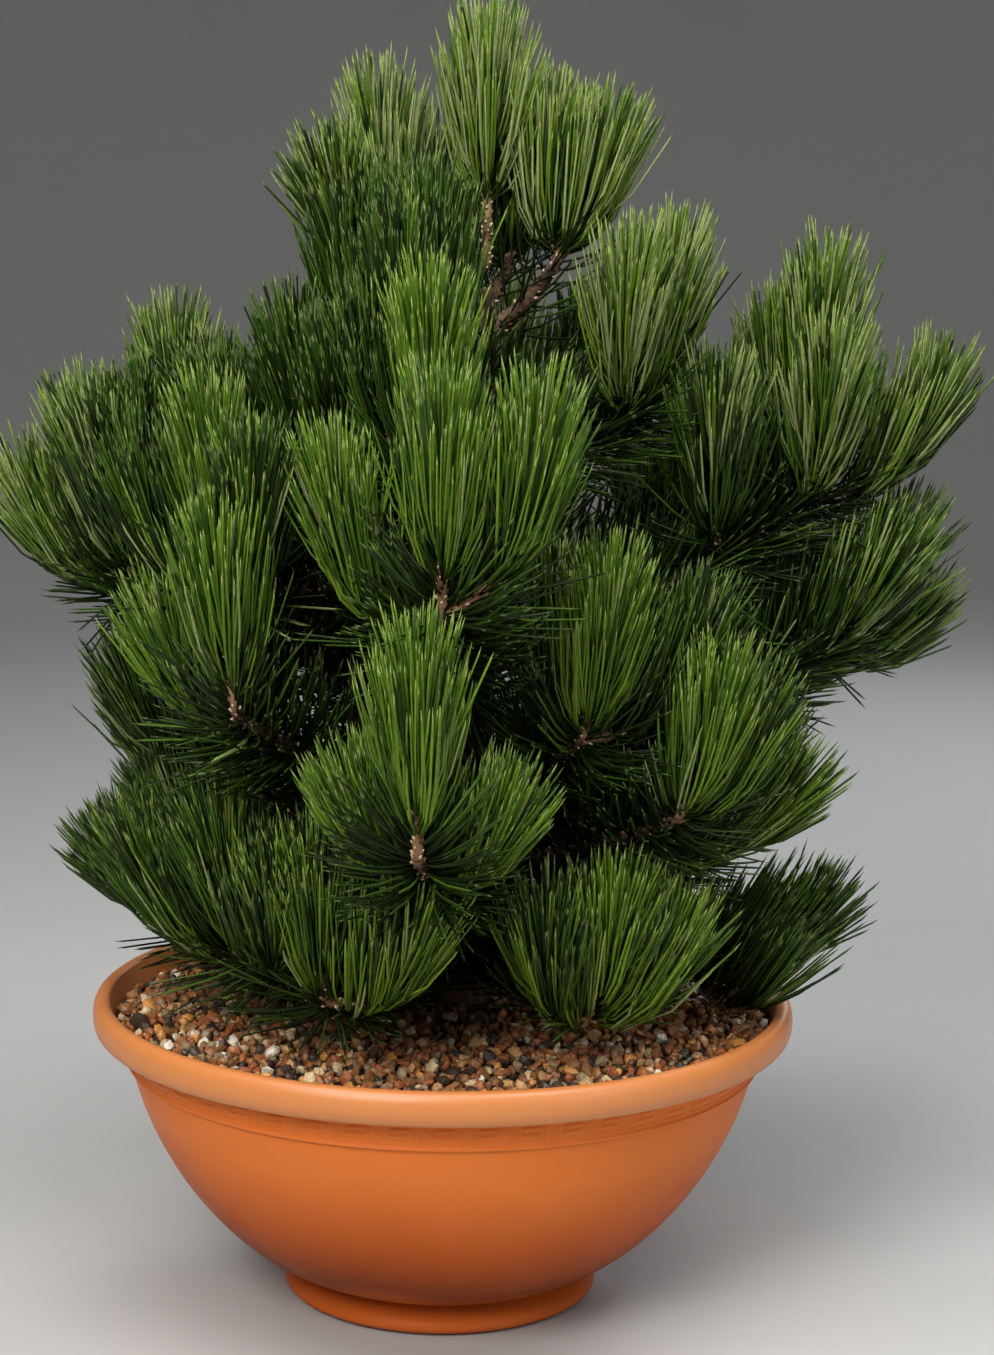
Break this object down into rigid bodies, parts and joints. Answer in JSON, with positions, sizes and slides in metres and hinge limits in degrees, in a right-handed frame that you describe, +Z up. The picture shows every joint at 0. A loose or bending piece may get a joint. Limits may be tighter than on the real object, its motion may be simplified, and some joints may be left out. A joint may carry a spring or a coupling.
{
  "type": "potted compact gem bosnian pine",
  "caption": "Dwarf pine with upright brushes of long needles on boughs round a slender trunk, standing in a wide rimmed bowl filled with gravel",
  "frame": {"origin": "centre of the bowl's flat underside, on the floor", "axes": "+Z up, +X to the right as the plant is seen in the picture, +Y away from that view toward the plant's back"},
  "size_m": [0.5602, 0.5093, 0.7001],
  "materials": {
    "bowl_plastic": "satin terracotta-coloured plastic",
    "gravel": "matt mixed gravel",
    "bark": "rough scaly bark",
    "needles": "satin needles"
  },
  "bodies": {
    "root": {"pot": "bowl_plastic", "gravel_fill": "gravel", "trunk": "bark", "leader": "needles", "top_left": "needles", "top_right": "needles", "top_back_left": "needles", "top_back_right": "needles", "centre_upper": "needles", "left_upper": "needles", "right_upper": "needles", "centre": "needles", "left_mid": "needles", "back_upper": "needles", "low_left_front": "needles", "low_centre": "needles", "left_far_bough": "bark", "left_far": "needles", "left_bright_bough": "bark", "left_bright": "needles", "far_left_bough": "bark", "far_left": "needles", "centre_front_bough": "bark", "centre_front": "needles", "left_front_bough": "bark", "left_front": "needles", "front_centre_bough": "bark", "front_centre": "needles", "right_centre_bough": "bark", "right_centre": "needles", "right_front_bough": "bark", "right_front": "needles", "right_low_bough": "bark", "right_low": "needles", "right_high_bough": "bark", "right_high": "needles", "far_right_low_bough": "bark", "far_right_low": "needles", "right_low_far_bough": "bark", "right_low_far": "needles", "low_left_far_bough": "bark", "low_left_far": "needles", "low_right_front_bough": "bark", "low_right_front": "needles", "back_right_high_bough": "bark", "back_right_high": "needles", "back_left_high_bough": "bark", "back_left_high": "needles", "back_right_bough": "bark", "back_right": "needles", "back_left_bough": "bark", "back_left": "needles", "back_mid_right_bough": "bark", "back_mid_right": "needles", "back_mid_left_bough": "bark", "back_mid_left": "needles", "back_low_right_bough": "bark", "back_low_right": "needles", "back_low_left_bough": "bark", "back_low_left": "needles"}
  },
  "joints": []
}
